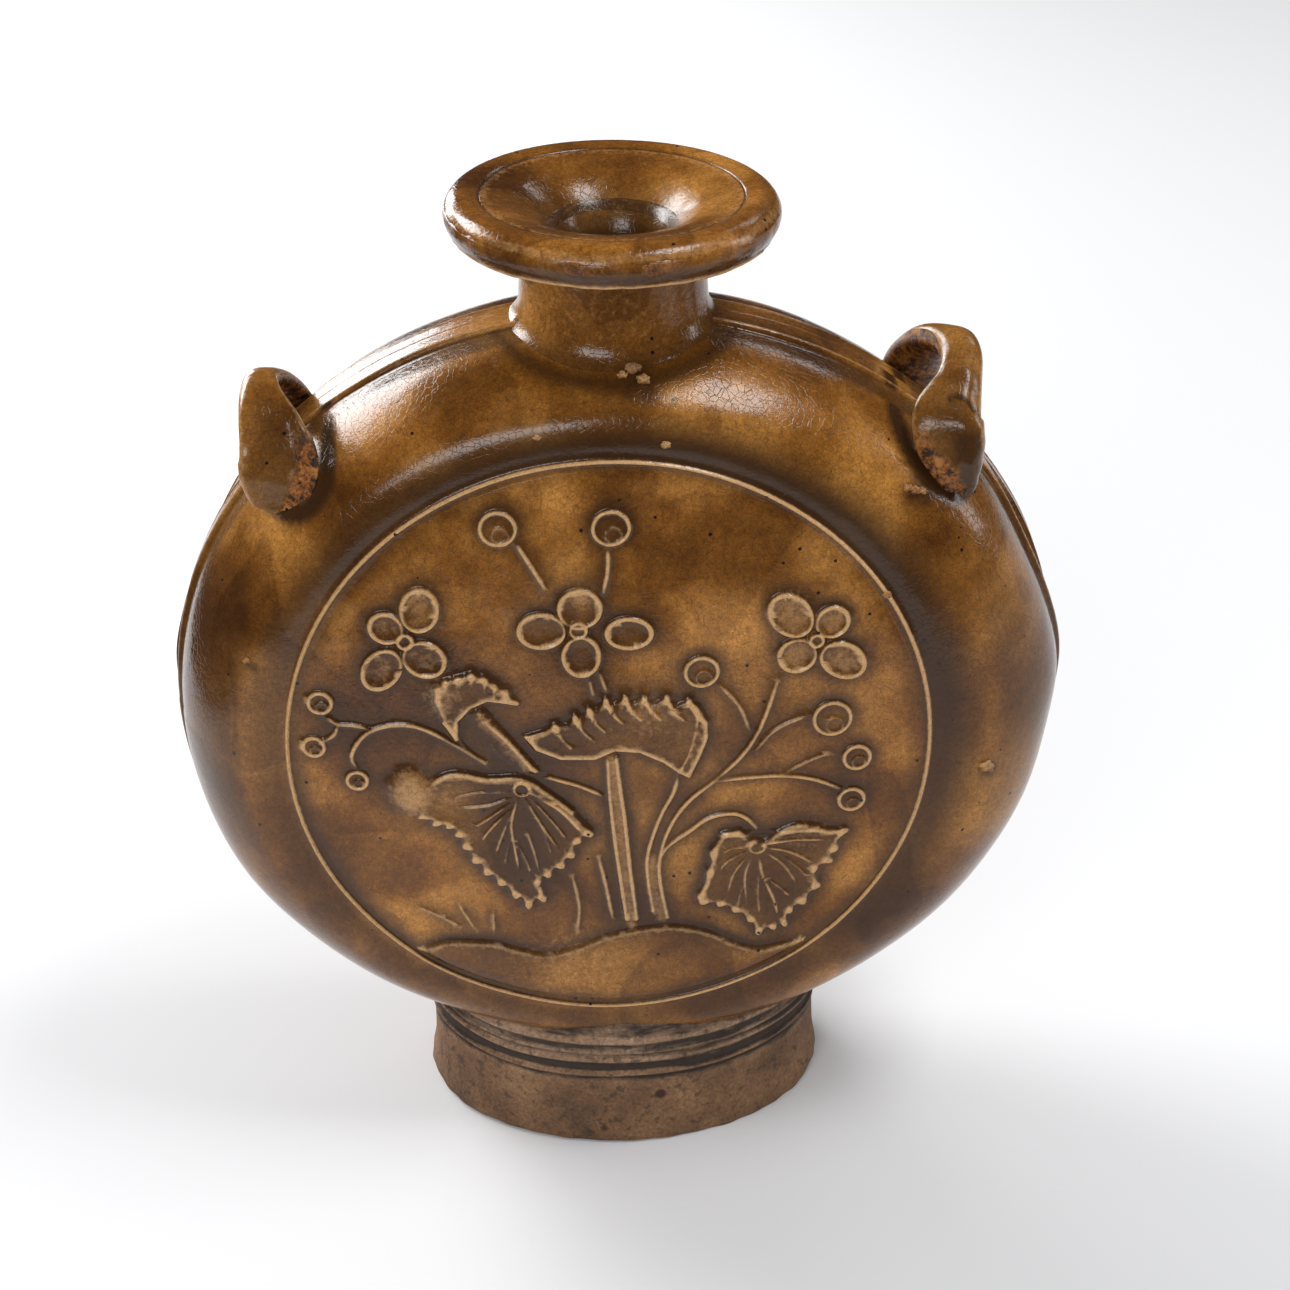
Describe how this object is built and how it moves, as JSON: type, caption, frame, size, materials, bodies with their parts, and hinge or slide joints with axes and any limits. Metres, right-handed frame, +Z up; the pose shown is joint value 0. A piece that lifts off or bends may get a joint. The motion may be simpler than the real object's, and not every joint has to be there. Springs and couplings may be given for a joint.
{
  "type": "pilgrim flask",
  "caption": "Disc-shaped stoneware flask on an oval foot, with a short neck, a wide dish mouth, two strap lugs on the shoulders and a lotus-pond ornament in a ring on each face.",
  "frame": {"origin": "centre of the foot's underside, on the surface that the flask stands on", "axes": "+Z up along the neck, +X across the disc towards the right lug, the front medallion faces -Y"},
  "size_m": [0.2012, 0.0754, 0.228],
  "materials": {
    "brown_glaze": "glossy tea-brown glaze, amber where thin and near black where it pools",
    "brown_glaze_relief": "the same glaze, thin and pale on the raised ornament",
    "glazed_straps": "glossy brown glaze, speckled rusty orange at the edges",
    "bare_clay": "dry unglazed buff-brown stoneware with brown smears and iron spots"
  },
  "bodies": {
    "root": {"front_shell": "brown_glaze", "back_shell": "brown_glaze", "neck": "brown_glaze", "mouth_dish": "brown_glaze", "left_lug": "glazed_straps", "right_lug": "glazed_straps", "foot_ring": "bare_clay", "front_ornament": "brown_glaze_relief", "back_ornament": "brown_glaze_relief"}
  },
  "joints": []
}
